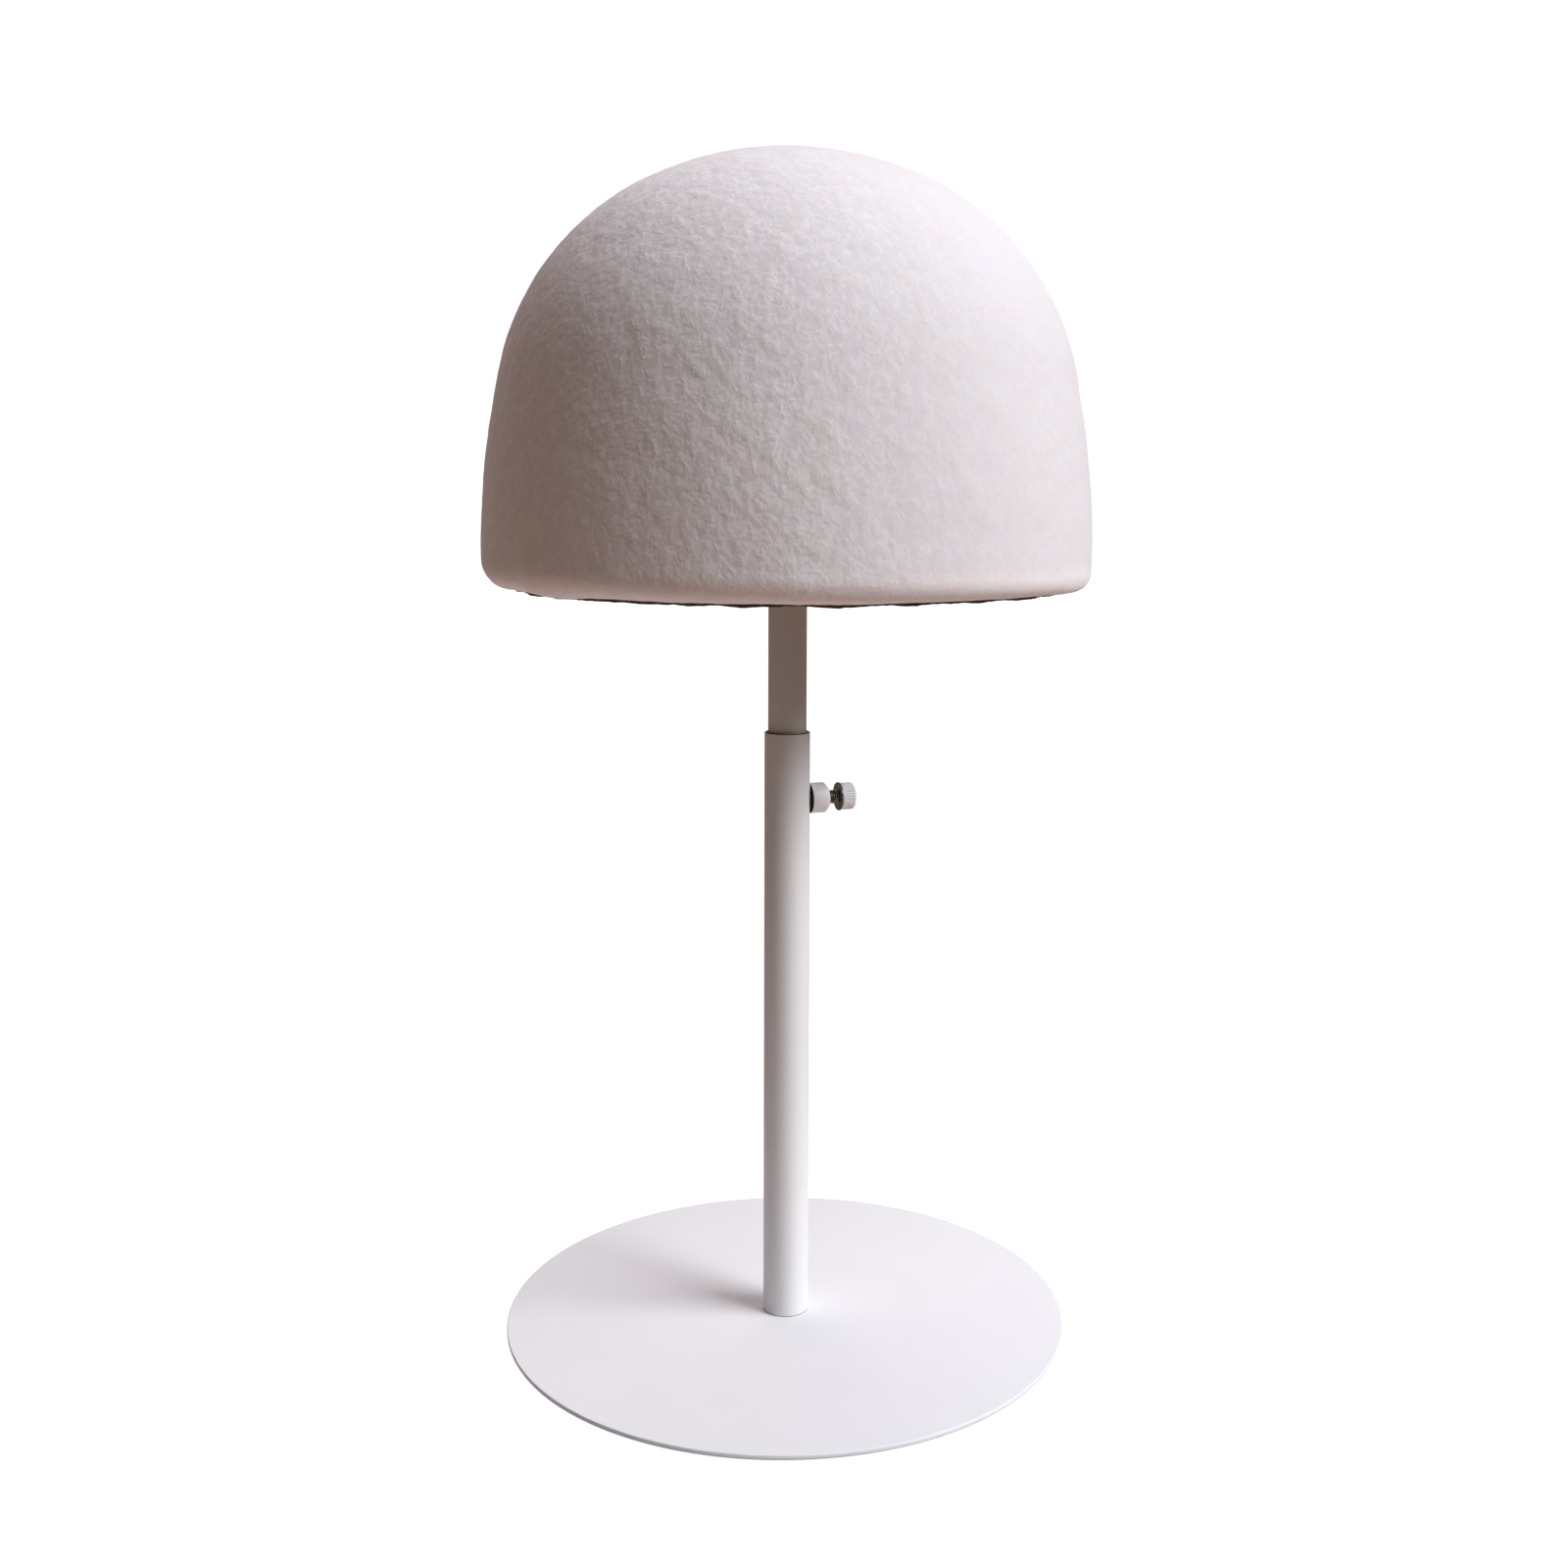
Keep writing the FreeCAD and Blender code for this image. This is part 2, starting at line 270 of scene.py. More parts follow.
# Height above the rim up to which the fold is palest, and from which it isn't seen: a pale band, partly the
# pressed fold and partly painted bounce light from the floor
fold_bounce_low = 2 * MM
fold_bounce_high = 8 * MM


def wool_felt():
    """Blocked wool felt with a brushed nap: curled fibres with a painted highlight, flatter on one side,
    flecks, a pale fold partly of painted bounce light.
    """
    material, tree, place = new_material("wool_felt_brushed")
    upright = add(tree, "Mapping", {"Vector": place, "Scale": (1, 1, 0.88)}).outputs[0]
    along = add(tree, "SeparateXYZ", {"Vector": place}).outputs
    raised = remap(tree, along["X"], -nap_change, nap_change, 0.62, 0.2)
    wide = curls(tree, upright, size_mm=3.5, shift_mm=0, width=0.19)
    middling = curls(tree, upright, size_mm=2.9, shift_mm=31, width=0.20)
    fine = curls(tree, upright, size_mm=2.2, shift_mm=57, width=0.21)
    nap = maths(tree, "MULTIPLY_ADD", fine, 0.35, maths(tree, "MAXIMUM", wide, middling))
    fluff = speckle(tree, upright, 2.6, 2)
    clump = speckle(tree, place, 6, 2)
    cell = add(tree, "TexVoronoi", {"Vector": place, "Scale": per_mm(2.2), "Randomness": 1})
    fleck = remap(tree, cell.outputs["Distance"], 0.05, 0.3, 0.3, 0)
    # Painted highlight: the raised fibre curls are painted paler, the more where the nap stands up
    lit = maths(tree, "MULTIPLY", remap(tree, nap, 0.1, 1), raised)
    hue = remap(tree, clump, 0.4, 0.6)
    cool = blend(tree, lit, "E8E3E7", "F5F0F4")
    warm = blend(tree, lit, "E8E2E3", "F5EFF0")
    mottled = blend(tree, hue, cool, warm)
    flecked = blend(tree, maths(tree, "MULTIPLY", fleck, hue), mottled, "FFFBF8")
    # Painted bounce light: the felt is made paler low down at the fold, where light from the floor would
    # fall
    fold = remap(tree, along["Z"], head_low.z + fold_bounce_low, head_low.z + fold_bounce_high, 1, 0)
    normal = bump(tree, clump, 0.4, 0.6)
    for height, depth_mm in ((fluff, 0.37), (nap, 0.06), (fleck, 0.08)):
        normal = bump(tree, height, raised, depth_mm, normal)
    show_surface(tree, {
        "Base Color": blend(tree, fold, flecked, "F8F0F1"), "Roughness": 0.95, "Specular IOR Level": 0.2,
        "Sheen Weight": 0.25, "Sheen Roughness": 0.6, "Normal": normal,
    })
    return material


# A wave texture of scale 1 turns 20 radians in a metre, so the cloth's grid repeats every 2.8 mm
weave_scale = per_mm(0.45) / 20


def liner_cloth():
    """Woven black lining cotton: dull, with a soft grid of paler threads."""
    material, tree, place = new_material("lining_cotton_woven")
    warp = add(tree, "TexWave", {"Vector": place, "Scale": weave_scale}, bands_direction="X")
    weft = add(tree, "TexWave", {"Vector": place, "Scale": weave_scale}, bands_direction="Y")
    weave = maths(tree, "MULTIPLY", warp.outputs["Fac"], weft.outputs["Fac"])
    show_surface(tree, {
        "Base Color": blend(tree, weave, "473C39", "5F524E"), "Roughness": 0.9,
        "Specular IOR Level": 0.25, "Normal": bump(tree, weave, 0.6, 0.08),
    })
    return material


def bare_steel(name, tone, dark_tone, roughness, mottle_mm):
    """Steel with a turned or rolled surface left bare: grey, with dull mottled patches."""
    material, tree, place = new_material(name)
    mottle = speckle(tree, place, mottle_mm, 4)
    show_surface(tree, {
        "Base Color": blend(tree, remap(tree, mottle, 0.35, 0.65), dark_tone, tone), "Metallic": 1.0,
        "Roughness": remap(tree, mottle, 0.3, 0.7, roughness - 0.1, roughness + 0.15),
        "Normal": bump(tree, mottle, 0.4, 0.02),
    })
    return material


def moulded(name, tone, other_tone, roughness, grain_mm, depth_mm):
    """Moulded or die-cut piece, or a dark face of painted shade, with an even colour and a fine surface
    grain.
    """
    material, tree, place = new_material(name)
    grain = speckle(tree, place, grain_mm, 3)
    show_surface(tree, {
        "Base Color": blend(tree, grain, tone, other_tone), "Roughness": roughness,
        "Normal": bump(tree, grain, 0.5, depth_mm),
    })
    return material


def board_wood():
    """Birch plywood, sanded: pale bands of grain along one way."""
    material, tree, place = new_material("birch_plywood_sanded")
    along = add(tree, "Mapping", {"Vector": place, "Scale": (1, 0.08, 1)}).outputs[0]
    grain = speckle(tree, along, 1.6, 5)
    show_surface(tree, {
        "Base Color": blend(tree, grain, "A98458", "D9BC90"), "Roughness": 0.7,
        "Normal": bump(tree, grain, 0.3, 0.1),
    })
    return material


felt_material = wool_felt()
liner_material = liner_cloth()
plate_material = powder_coat("powder_coat_matte_white", "EEEDEF", "EAE9EB", peel_mm=1.2, roughness=0.55)
# The post has a thin dark ring at its foot, and a dark ring of painted shade at its top edge, where the
# inner tube goes in
post_rings = [(lower_low.z, "7A6A66"), (lower_high.z + top_ring_rise, "66554F")]
post_material = powder_coat(
    "powder_coat_satin_white_painted_shade_top_ring", "E7E5E5", "E2DFDF",
    peel_mm=0.9, roughness=0.42, rings=post_rings,
)
# The inner tube has the post's coat made darker: painted shade, for the head's shade over it
shaded_tube_material = powder_coat("powder_coat_satin_white", "DEDBDA", "D8D4D3", peel_mm=0.9, roughness=0.42)
boss_material = powder_coat("powder_coat_gloss_white", "F2F0EF", "ECE9E8", peel_mm=0.7, roughness=0.38)
screw_material = bare_steel("steel_turned_bare", "94928F", "4C4A48", roughness=0.42, mottle_mm=1.4)
thread_material = bare_steel(
    "steel_rolled_thread_oiled", "A3A196", "4E4A44", roughness=0.42, mottle_mm=1.2,
)
zinc_material = bare_steel("steel_zinc_plated", "B9BCC0", "989CA1", roughness=0.35, mottle_mm=2.5)
cap_material = moulded(
    "abs_moulded_white", "EEECEC", "E6E4E4", roughness=0.5, grain_mm=0.5, depth_mm=0.01,
)
# Dark colour of the bush's inner end, which faces the post: painted shade
painted_shade_material = moulded(
    "dark_steel_painted_shade", "2E2625", "40383A", roughness=0.5, grain_mm=1.2, depth_mm=0.02,
)
nylon_material = moulded(
    "nylon_moulded_natural", "E9E4D6", "DDD7C6", roughness=0.45, grain_mm=0.8, depth_mm=0.01,
)
pad_material = moulded(
    "rubber_die_cut_grey", "98979A", "858487", roughness=0.85, grain_mm=0.4, depth_mm=0.03,
)
shell_material = moulded(
    "polystyrene_moulded_grey", "C9C8C4", "BDBCB8", roughness=0.6, grain_mm=1.5, depth_mm=0.03,
)
wood_material = board_wood()

carried_over = {
    "base_pads": pad_material,
    "base_screw": zinc_material,
    "foot_plug": zinc_material,
    "screw_tip": nylon_material,
    "tube_glide": nylon_material,
    "neck_plug": zinc_material,
    "neck_stud": zinc_material,
    "head_nut": zinc_material,
    "head_board": wood_material,
    "head_shell": shell_material,
    "lower_tube": post_material,
}


def dress_carried_over():
    """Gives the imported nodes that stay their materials."""
    for node, material in carried_over.items():
        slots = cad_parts[node].data.materials
        for index in range(len(slots)):
            slots[index] = material


# Felt head, whose half outline is three arcs, for the crown, the shoulder and the side, then a short
# straight band, the rim's round corner and the hem

felt_thickness = 2.0 * MM
hem_width = 25.0 * MM
head_band = 8.9 * MM
rim_widest = 7.5 * MM
rim_tightest = 4.4 * MM
rim_wide_side = math.radians(161.5)
# The felt's outer face is taken to be this near to the round corner's surface
rim_skin = 0.1 * MM
crown_sweep = math.radians(24.4)
shoulder_sweep = math.radians(53.7)
crown_radius_share = 1.0824
shoulder_radius_share = 0.8659
felt_steps = 420
felt_cell = 0.95 * MM
felt_inner_cell = 9.0 * MM
head_radius = head_high.x


def on_arc(centre, radius, turn):
    """Point of an arc, at an angle from straight up."""
    return centre[0] + radius * math.sin(turn), centre[1] + radius * math.cos(turn)


def dome_arcs():
    """Centre, radius, start and end turn of the dome's three arcs, from the crown down."""
    turns = [0, crown_sweep, crown_sweep + shoulder_sweep, QUARTER_TURN]
    reach = crown_radius_share * math.sin(turns[1])
    reach += shoulder_radius_share * (math.sin(turns[2]) - math.sin(turns[1]))
    side_share = (1 - reach) / (1 - math.sin(turns[2]))
    radii = [share * head_radius for share in (crown_radius_share, shoulder_radius_share, side_share)]
    centre = (head_radius - radii[2], head_low.z + head_band)
    arcs = [(centre, radii[2], turns[2], turns[3])]
    for index in (1, 0):
        centre = on_arc(centre, radii[index + 1] - radii[index], turns[index + 1])
        arcs.append((centre, radii[index], turns[index], turns[index + 1]))
    return arcs[::-1]


def spread(start, end, cell):
    """Even points on a straight run, without its start."""
    length = math.dist(start, end)
    count = max(1, round(length / cell))
    return [
        (start[0] + (end[0] - start[0]) * i / count, start[1] + (end[1] - start[1]) * i / count)
        for i in range(1, count + 1)
    ]


def felt_side(inset, cell):
    """Outline of one face of the felt, from the crown down to the hem's inner edge."""
    points = []
    for centre, radius, start, end in dome_arcs():
        count = max(2, round(radius * (end - start) / cell))
        points += [on_arc(centre, radius - inset, start + (end - start) * i / count) for i in range(count)]
    corner = (head_radius - rim_widest, head_low.z + rim_widest)
    count = max(4, round(rim_widest * QUARTER_TURN / cell))
    top = (head_radius - inset, head_low.z + head_band)
    points.append(top)
    points += spread(top, (head_radius - inset, corner[1]), cell)[:-1]
    turns = [QUARTER_TURN * (1 + i / count) for i in range(count + 1)]
    points += [on_arc(corner, rim_widest - inset, turn) for turn in turns]
    points += spread(points[-1], (head_radius - hem_width, head_low.z + inset), cell)
    return points


def rim_size(direction):
    """Rim radius in a direction: the felt is pulled round the edge more tightly on one side."""
    share = (1 + math.cos(direction - rim_wide_side)) / 2
    return rim_tightest + (rim_widest - rim_tightest) * share


def corner_place(share, size):
    """Place on the rim's corner, from its top to its underside, for a rim of this radius."""
    straight = rim_widest - size
    arc = size * QUARTER_TURN
    run = share * (2 * straight + arc)
    if run < straight:
        return head_radius, head_low.z + rim_widest - run
    if run > straight + arc:
        return head_radius - size - (run - straight - arc), head_low.z
    turn = QUARTER_TURN + (run - straight) / size
    return on_arc((head_radius - size, head_low.z + size), size, turn)


def tighten_rim(bm):
    """Pulls the outer face of the felt's round corner to the rim radius of each direction."""
    for vert in bm.verts:
        reach = math.hypot(vert.co.x, vert.co.y)
        across = reach - (head_radius - rim_widest)
        down = head_low.z + rim_widest - vert.co.z
        if across < 0 or down < 0:
            continue
        depth = rim_widest - math.hypot(across, down)
        if depth > rim_skin:
            continue
        direction = math.atan2(vert.co.y, vert.co.x)
        share = math.atan2(down, across) / QUARTER_TURN
        radius, height = corner_place(share, rim_size(direction))
        vert.co = (radius * math.cos(direction), radius * math.sin(direction), height)


# Where the hem hangs lower over the liner: direction and half width in degrees, drop
hem_sags = [
    (204, 7, 0.8 * MM), (176, 5, 0.4 * MM), (262, 9, 0.25 * MM), (318, 8, 0.45 * MM), (334, 6, 0.5 * MM),
]
# The sag fades out over this height above the rim and ends at this distance in from it
hem_depth = 3.5 * MM
hem_reach = 12 * MM


def sag_hem(bm):
    """Lets the turned-under felt hang lower in a few places, most at its lowest face."""
    for vert in bm.verts:
        share = 1 - (vert.co.z - head_low.z) / hem_depth
        if share <= 0 or math.hypot(vert.co.x, vert.co.y) < head_radius - hem_reach:
            continue
        direction = math.degrees(math.atan2(vert.co.y, vert.co.x)) % 360
        drop = sum(depth * math.exp(-((direction - place) / width) ** 2) for place, width, depth in hem_sags)
        vert.co.z -= drop * min(1, share)


# Waves, clumps and streaks of the felt: size, and height in millimetres, which is less for flat streaks
wave_size = 38 * MM
wave_height = 0.30
clump_size = 9 * MM
clump_height = 0.14
streak_size = 2.4 * MM
streak_height = 0.10
streak_flattening = 0.06
streak_squeeze = 0.8


def nap_height(place):
    """How far the felt stands out at a place."""
    flat_side = min(1, max(0, (place.x + nap_change) / (2 * nap_change)))
    slow = noise.noise(place / wave_size) * wave_height
    clump = noise.noise(place / clump_size) * clump_height
    long = Vector((place.x, place.y, place.z * streak_squeeze))
    streak = noise.noise(long / streak_size) * (streak_height - streak_flattening * flat_side)
    return (slow + clump + streak) * MM


def make_felt_cover():
    """Felt drawn over the head and turned under its rim, with an uneven brushed surface."""
    outside = felt_side(0, felt_cell)
    inside = felt_side(felt_thickness, felt_inner_cell)
    bm = rings_of(outside + inside[::-1], felt_steps, closed=False)
    tighten_rim(bm)
    sag_hem(bm)
    bm.normal_update()
    moves = [(vert, vert.normal * nap_height(vert.co)) for vert in bm.verts]
    for vert, move in moves:
        vert.co += move
    return finish_piece("felt_dome", bm, "head", felt_material, ["felt_cover"], crease=180)


# Liner under the head

liner_steps = 360
liner_rings = 6
liner_hole = upper_high.x + 0.3 * MM
# Width of the edge that is uneven
liner_edge = 1 * MM
# Unevenness of the cut edge: size, and amount in millimetres, outwards and downwards
out_long_size = 7 * MM
out_long = 1.1
out_short_size = 2 * MM
out_short = 0.4
droop = 0.2
droop_long_size = 9 * MM
droop_long = 0.5
droop_short_size = 1.6 * MM
droop_short = 0.2
droop_shift = Vector((5, 5, 5))


def make_liner():
    """Dark cloth disc under the felt, whose hand-cut edge runs a little uneven and droops."""
    rim = liner_high.x
    lower_face = head_low.z - 0.1 * MM
    radii = [liner_hole + (rim - liner_hole) * i / liner_rings for i in range(liner_rings + 1)]
    outline = [(r, liner_low.z) for r in radii] + [(r, liner_high.z) for r in radii[::-1]]
    bm = rings_of(outline, liner_steps, closed=True)
    for vert in bm.verts:
        reach = math.hypot(vert.co.x, vert.co.y)
        if reach < rim - liner_edge:
            continue
        around = Vector((vert.co.x, vert.co.y, 0))
        out = noise.noise(around / out_long_size) * out_long
        out += noise.noise(around / out_short_size) * out_short
        down = droop + noise.noise(around / droop_long_size + droop_shift) * droop_long
        down += noise.noise(around / droop_short_size) * droop_short
        if vert.co.z < lower_face:
            vert.co.z -= down * MM
        vert.co.x *= 1 + out * MM / reach
        vert.co.y *= 1 + out * MM / reach
    return finish_piece("liner_disc", bm, "head", liner_material, ["underside_liner"])


# Base plate and post

plate_top_edge = 0.28 * MM
plate_low_edge = 0.7 * MM
screw_bore = 2.55 * MM
screw_sink = 4.65 * MM
bore_land = 0.01 * MM
plate_steps = 256


def make_plate():
    """Thin round steel plate with a rim rounded underneath and a countersunk hole."""
    rim = plate_high.x
    outline = [
        (screw_bore, plate_high.z), (rim, plate_high.z), (rim, plate_low.z),
        (screw_sink, plate_low.z), (screw_bore, plate_high.z - bore_land),
    ]
    bm = rings_of(outline, plate_steps, closed=True)
    round_edges(bm, ring_edges(bm, rim, plate_high.z), plate_top_edge, segments=3)
    round_edges(bm, ring_edges(bm, rim, plate_low.z), plate_low_edge, segments=5)
    finish_piece("plate_disc", bm, "stand", plate_material, ["base_plate"])


tube_wall = 1.0 * MM
tube_edge = 0.2 * MM
tube_steps = 128


def make_upper_tube():
    """Thinner steel tube that slides in the post and carries the head."""
    outer = upper_high.x
    outline = [
        (outer - tube_wall, upper_low.z), (outer, upper_low.z),
        (outer, upper_high.z), (outer - tube_wall, upper_high.z),
    ]
    bm = rings_of(outline, tube_steps, closed=True)
    round_edges(bm, ring_edges(bm, outer, upper_low.z), tube_edge, segments=3)
    finish_piece("tube_inner", bm, "head", shaded_tube_material, ["upper_tube"])


# Thumb screw

turned_steps = 96
boss_bevel = 1.0 * MM
boss_gap = 0.1 * MM
boss_edge = 0.15 * MM
painted_shade_reach = 0.05 * MM
spigot_radius = 3.0 * MM
bush_bore = 2.05 * MM
bore_chamfer = 0.3 * MM
thread_pitch = 0.7 * MM
thread_crest = 2.0 * MM
thread_root = 1.6 * MM
thread_steps = 40
core_start = 1 * MM
flange_thickness = 0.5 * MM
flange_radius = 4.1 * MM
flange_edge = 0.12 * MM
hub_radius = 2.6 * MM
hub_length = 3.0 * MM
knurl_count = 32
knurl_depth = 0.25 * MM
knurl_sides = 6
knurl_slope = 4
knurl_margin = 0.1 * MM
knurl_rounding_share = 0.6
cap_hole_gap = 0.05 * MM
cap_edge = 0.1 * MM
cap_band = 1.0 * MM
cap_band_end = 0.15 * MM
cap_rounding = 0.9 * MM


def make_boss():
    """Round bush on the post's side, bevelled at its outer end; its inner end, facing the post, is painted
    shade in a dark colour.
    """
    radius = boss_high.z - clamp_height
    face = lower_high.x + boss_gap
    end = boss_high.x
    outline = [
        (bush_bore, boss_low.x), (spigot_radius, boss_low.x), (spigot_radius, face),
        (radius, face), (radius, end - boss_bevel), (radius - boss_bevel, end),
        (bush_bore + bore_chamfer, end), (bush_bore, end - bore_chamfer),
    ]
    bm = rings_of(outline, turned_steps, closed=True)
    soft = ring_edges(bm, radius, face) + ring_edges(bm, radius, end - boss_bevel)
    soft += ring_edges(bm, radius - boss_bevel, end)
    round_edges(bm, soft, boss_edge, segments=3)
    # Faces at the bush's inner end take the dark second material: painted shade
    for part in bm.faces:
        part.material_index = int(part.calc_center_median().z < face + painted_shade_reach)
    lay_along_clamp(bm)
    piece = finish_piece("boss_bush", bm, "stand", boss_material, ["screw_boss"])
    piece.data.materials.append(painted_shade_material)


def add_thread(bm, start, end):
    """One vee of thread, its outline in shares of the pitch, turned and raised a pitch at each turn."""
    turns = math.floor((end - start) / thread_pitch)
    profile = [
        (thread_root, 0), (thread_root, 0.12), (thread_crest, 0.44),
        (thread_crest, 0.56), (thread_root, 0.88), (thread_root, 1),
    ]
    verts = [bm.verts.new((r, 0, start + share * thread_pitch)) for r, share in profile]
    edges = [bm.edges.new(pair) for pair in zip(verts, verts[1:])]
    bmesh.ops.spin(
        bm, geom=verts + edges, cent=(0, 0, 0), axis=(0, 0, 1),
        dvec=(0, 0, thread_pitch / thread_steps), angle=FULL_TURN * turns,
        steps=thread_steps * turns, use_merge=False, use_duplicate=False,
    )


def make_screw():
    """Threaded shank, thin flange and hub of the thumb screw, turned in one piece."""
    face = cap_low.x - flange_thickness
    outline = [
        (0, screw_low.x + core_start), (thread_root, screw_low.x + core_start), (thread_root, face),
        (flange_radius, face), (flange_radius, cap_low.x), (hub_radius, cap_low.x),
        (hub_radius, cap_low.x + hub_length), (0, cap_low.x + hub_length),
    ]
    bm = rings_of(outline, turned_steps, closed=False)
    rims = ring_edges(bm, flange_radius, face) + ring_edges(bm, flange_radius, cap_low.x)
    round_edges(bm, rims, flange_edge, segments=3)
    add_thread(bm, screw_low.x, face)
    bmesh.ops.remove_doubles(bm, verts=bm.verts, dist=WELD)
    bmesh.ops.recalc_face_normals(bm, faces=bm.faces)
    for part in bm.faces:
        part.material_index = int(part.calc_center_median().z < face - NEAR)
    lay_along_clamp(bm)
    piece = finish_piece("screw_body", bm, "clamp_knob", screw_material, ["thumb_screw"])
    piece.data.materials.append(thread_material)


def make_cap():
    """Knurled cap: straight grooves between a plain band and a rounded end."""
    radius = cap_high.z - clamp_height
    start, end = cap_low.x, cap_high.x
    corner = (radius - cap_rounding, end - cap_rounding)
    arc = [on_arc(corner, cap_rounding, math.radians(turn)) for turn in (75, 60, 45, 30, 15, 0)]
    outline = [
        (hub_radius + cap_hole_gap, start), (radius - cap_edge, start), (radius, start + cap_edge),
        (radius, start + cap_band), (radius, start + cap_band + cap_band_end), (radius, end - cap_rounding),
    ]
    outline += arc + [(0, end)]
    bm = rings_of(outline, knurl_count * knurl_sides, closed=False)
    knurl_start = start + cap_band + knurl_margin
    knurl_reach = radius - knurl_rounding_share * cap_rounding
    for vert in bm.verts:
        reach = math.hypot(vert.co.x, vert.co.y)
        if vert.co.z <= knurl_start or reach <= knurl_reach:
            continue
        phase = math.atan2(vert.co.y, vert.co.x) / FULL_TURN * knurl_count % 1
        dip = max(0.0, 1 - abs(phase - 0.5) * knurl_slope)
        fade = min(1.0, (end - vert.co.z) / cap_rounding)
        scale = 1 - knurl_depth * dip * fade / reach
        vert.co.x *= scale
        vert.co.y *= scale
    lay_along_clamp(bm)
    finish_piece(
        "cap_knurled", bm, "clamp_knob", cap_material, ["thumb_screw_cap"], crease=30,
    )


# Floor, lights and camera

def view_axes():
    """Level directions to the right of the photograph's camera and away from it."""
    right = Vector((math.cos(camera_azimuth), math.sin(camera_azimuth), 0))
    away = Vector((-math.sin(camera_azimuth), math.cos(camera_azimuth), 0))
    return right, away


floor_radius = 6.0
floor_glow = 1.3
floor_glow_share = 0.74
card_right = -190 * MM
card_front = 90 * MM
# Distances over which the floor's bounce light changes, two from the post's axis and one from the card
rim_fade = (88 * MM, 104 * MM)
stand_fade = (125 * MM, 190 * MM)
card_fade = (150 * MM, 250 * MM)


def make_floor():
    """Large pale floor. It throws up grey light right by the plate's rim, a painted shadow, then white light
    by the stand, pinkish light by a card, then dim light.
    """
    right, away = view_axes()
    card_place = right * card_right - away * card_front
    material, tree, place = new_material("studio_paper_matte")
    lit = add(tree, "BsdfDiffuse", {"Color": blend(tree, speckle(tree, place, 3, 3), "FBFBFB", "F8F8F8")})
    glow = add(tree, "Emission", {"Color": (1, 1, 1, 1), "Strength": floor_glow})
    seen = add(tree, "MixShader", {0: floor_glow_share, 1: lit.outputs[0], 2: glow.outputs[0]})
    reach = add(tree, "VectorMath", {0: place}, operation="LENGTH").outputs["Value"]
    to_card = add(tree, "VectorMath", {0: place, 1: card_place}, operation="DISTANCE").outputs["Value"]
    # Painted shadow: the floor's bounce colour is grey right by the plate's rim, which darkens the rim
    paper = blend(tree, remap(tree, reach, *rim_fade), "B4B5B8", "F4EDE8")
    table = blend(tree, remap(tree, to_card, *card_fade), "B59E91", "927C6A")
    under = blend(tree, remap(tree, reach, *stand_fade), paper, table)
    bounce = add(tree, "BsdfDiffuse", {"Color": under})
    path = add(tree, "LightPath")
    show(tree, add(tree, "MixShader", {
        0: path.outputs["Is Camera Ray"], 1: bounce.outputs[0], 2: seen.outputs[0],
    }))
    bm = bmesh.new()
    bmesh.ops.create_circle(bm, cap_ends=True, segments=96, radius=floor_radius)
    mesh = bpy.data.meshes.new("studio_floor")
    bm.to_mesh(mesh)
    bm.free()
    mesh.materials.append(material)
    floor = bpy.data.objects.new("studio_floor", mesh)
    scene.collection.objects.link(floor)


window_tint = (0.965, 1.005, 1.055)
ceiling_tint = (1.12, 1.0, 1.06)
lamp_tint = (1.22, 1.0, 0.95)
# Name, azimuth from the camera towards its right, elevation, width of the light in degrees, strength, tint
lights = [
    ("window_front", 51, 38, 18, 0.26, window_tint),
    ("window_middle", 71, 38, 32, 0.80, window_tint),
    ("window_right", 93, 38, 18, 0.05, window_tint),
    ("lamp_back", 180, 60, 50, 0.22, ceiling_tint),
    ("lamp_left", -138, 50, 50, 0.12, lamp_tint),
    ("lamp_front", 0, 60, 50, 0.06, lamp_tint),
]


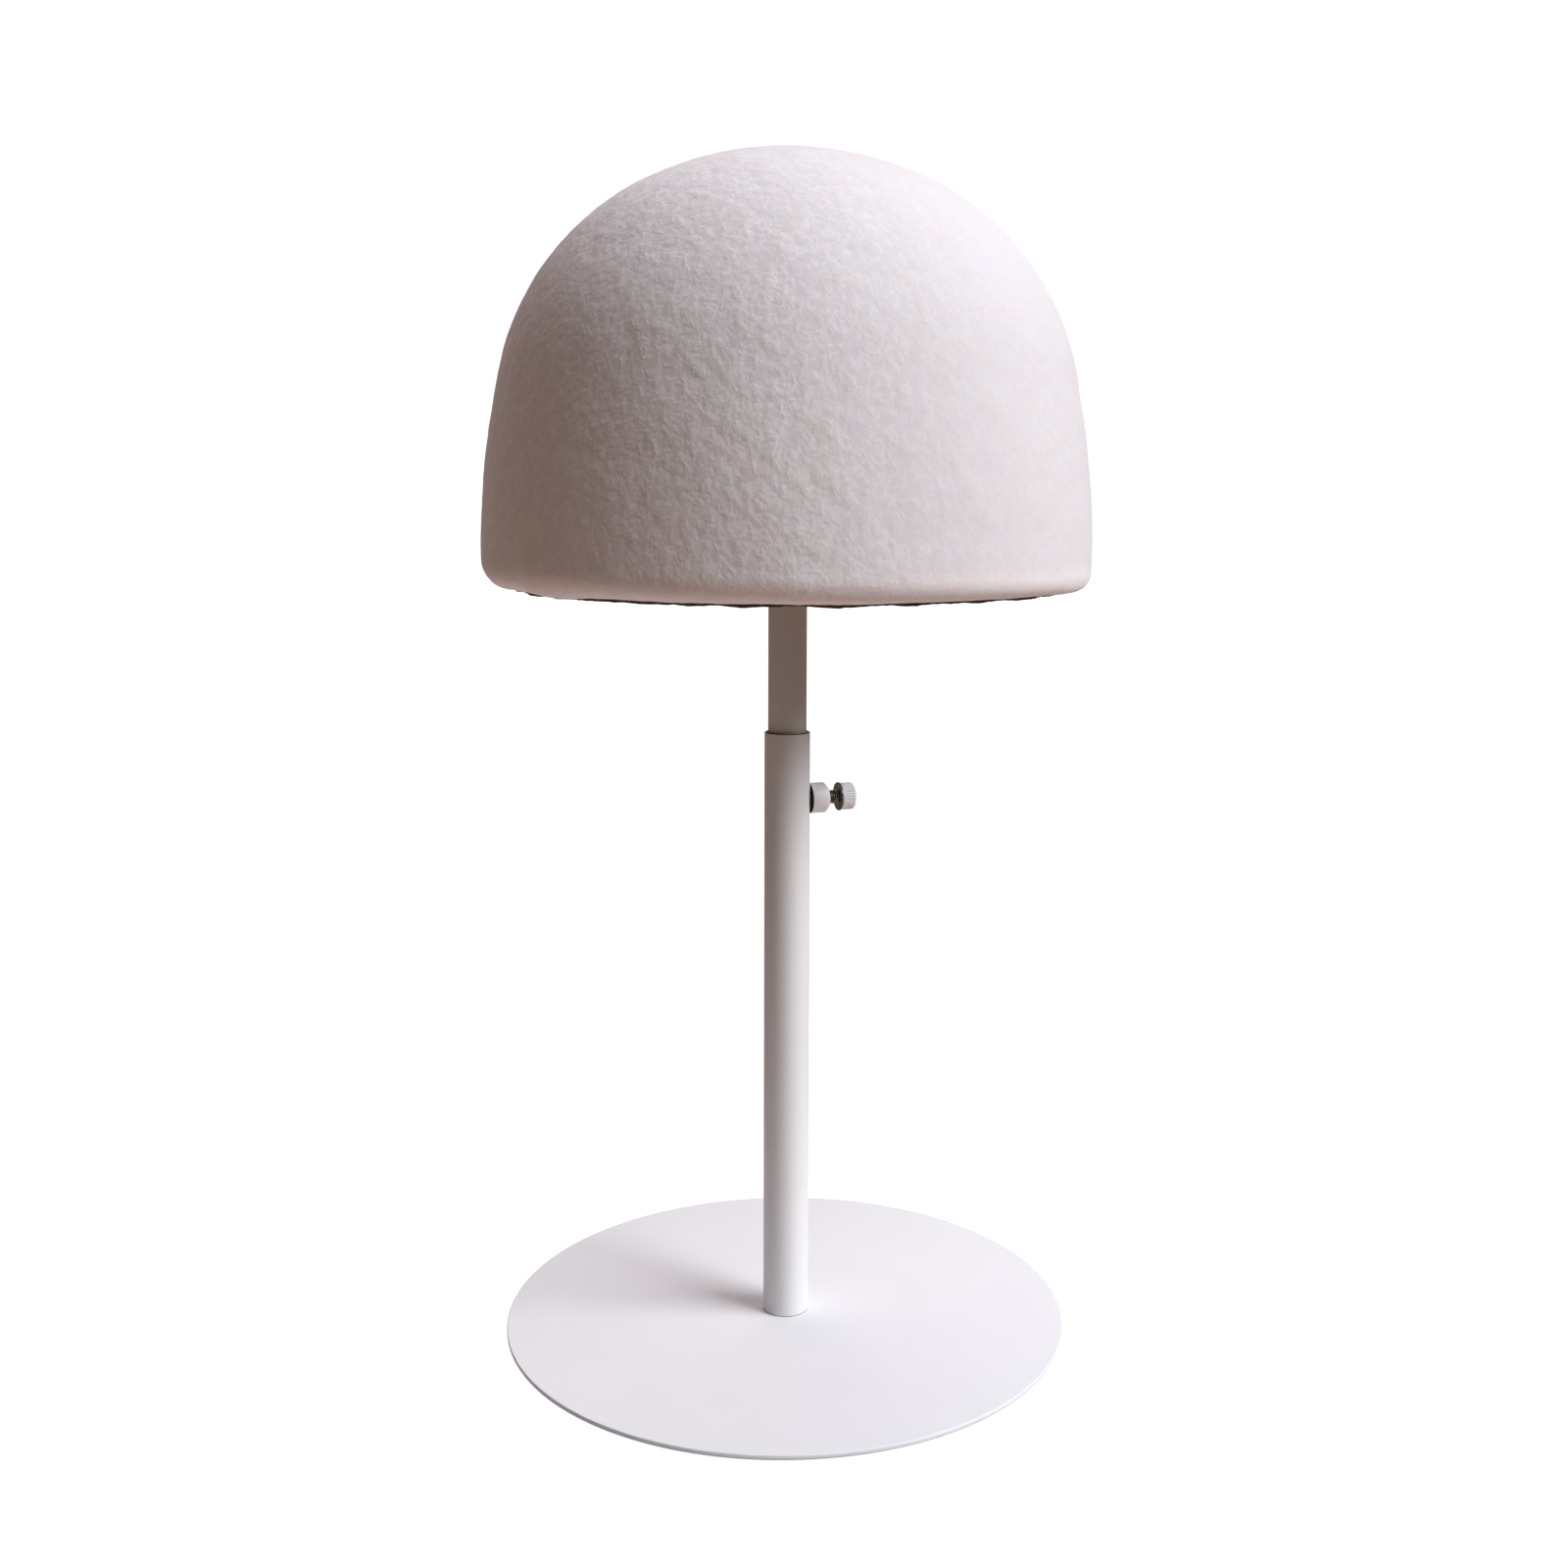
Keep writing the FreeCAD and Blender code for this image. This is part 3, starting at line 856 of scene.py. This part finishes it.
def add_light(name, azimuth, elevation, width, strength, tint):
    """Wide soft light, far off to one side."""
    right, away = view_axes()
    turn, rise = math.radians(azimuth), math.radians(elevation)
    level = right * math.sin(turn) - away * math.cos(turn)
    source = level * math.cos(rise) + Vector((0, 0, math.sin(rise)))
    light = bpy.data.lights.new(name, "SUN")
    light.angle = math.radians(width)
    light.energy = strength * max(tint) * math.pi
    light.color = [channel / max(tint) for channel in tint]
    window = bpy.data.objects.new(name, light)
    window.rotation_euler = source.to_track_quat("Z", "Y").to_euler()
    scene.collection.objects.link(window)


mirrored_strength = 0.4
white_strength = 1.05


def make_world():
    """Even surround: it shows white, gives gloss something to mirror, and adds no other light."""
    world = bpy.data.worlds.new("studio_surround")
    world.use_nodes = True
    tree = world.node_tree
    tree.nodes.clear()
    path = add(tree, "LightPath")
    dark = add(tree, "Background", {"Strength": 0})
    mirrored = add(tree, "Background", {"Color": linear("EEF2FF"), "Strength": mirrored_strength})
    white = add(tree, "Background", {"Color": (1, 1, 1, 1), "Strength": white_strength})
    gloss = add(tree, "MixShader", {
        0: path.outputs["Is Glossy Ray"], 1: dark.outputs[0], 2: mirrored.outputs[0],
    })
    mixed = add(tree, "MixShader", {
        0: path.outputs["Is Camera Ray"], 1: gloss.outputs[0], 2: white.outputs[0],
    })
    add(tree, "OutputWorld", {"Surface": mixed.outputs[0]})
    scene.world = world


def make_camera():
    """Camera at the photograph's place, with its lens, tilt and shift."""
    camera = bpy.data.cameras.new("photo_camera")
    camera.sensor_fit = "HORIZONTAL"
    camera.sensor_width = camera_sensor
    camera.lens = camera_lens
    camera.shift_x, camera.shift_y = camera_shift
    camera.clip_start = 0.01
    camera.clip_end = 50
    eye = bpy.data.objects.new("photo_camera", camera)
    place = Vector((math.sin(camera_azimuth), -math.cos(camera_azimuth), 0)) * camera_reach
    place.z = camera_height
    turn = Matrix.Rotation(camera_azimuth - camera_yaw, 4, "Z")
    turn = turn @ Matrix.Rotation(QUARTER_TURN - camera_pitch, 4, "X")
    eye.matrix_world = Matrix.Translation(place) @ turn @ Matrix.Rotation(camera_roll, 4, "Z")
    scene.collection.objects.link(eye)
    scene.camera = eye


dress_carried_over()
make_felt_cover()
make_liner()
make_plate()
make_upper_tube()
make_boss()
make_screw()
make_cap()
make_floor()
make_world()
for light in lights:
    add_light(*light)
make_camera()
scene.view_settings.view_transform = "Standard"
